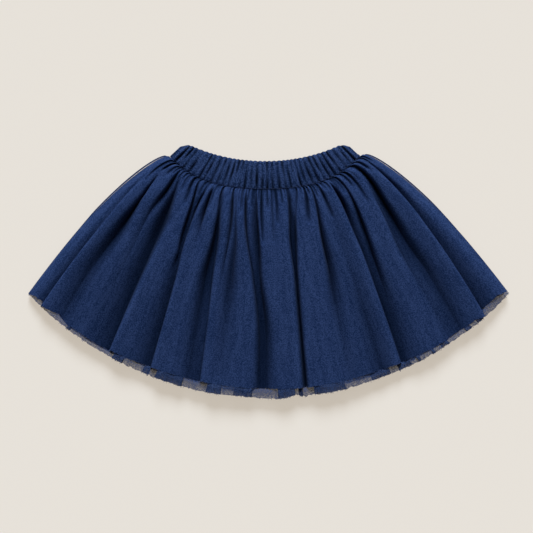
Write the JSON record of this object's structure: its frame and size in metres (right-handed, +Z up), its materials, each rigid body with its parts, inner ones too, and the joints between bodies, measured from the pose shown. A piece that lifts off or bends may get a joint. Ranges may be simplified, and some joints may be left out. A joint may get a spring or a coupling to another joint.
{
  "type": "tulle skirt",
  "caption": "Small child's gathered tulle skirt laid flat, with a ribbed elastic waistband, soft falling folds and a longer sheer under layer at the hem.",
  "frame": {"origin": "on the surface that the skirt lies on, under the middle of its outline", "axes": "+X across the skirt to the viewer's right, +Y up the skirt towards the waist, +Z up from the surface through the front"},
  "size_m": [0.54, 0.2828, 0.0232],
  "materials": {
    "band_cloth": "gathered navy casing of fine crepe-like net, matt with a soft sheen",
    "outer_tulle": "dense soft navy tulle, near opaque, fine mottled grain along the fall, matt",
    "under_tulle": "sheer navy tulle, see-through where it lies single, raw hem"
  },
  "bodies": {
    "root": {"waistband": "band_cloth", "outer_tulle_front": "outer_tulle", "outer_tulle_back": "outer_tulle", "under_tulle_front": "under_tulle", "under_tulle_back": "under_tulle"}
  },
  "joints": []
}
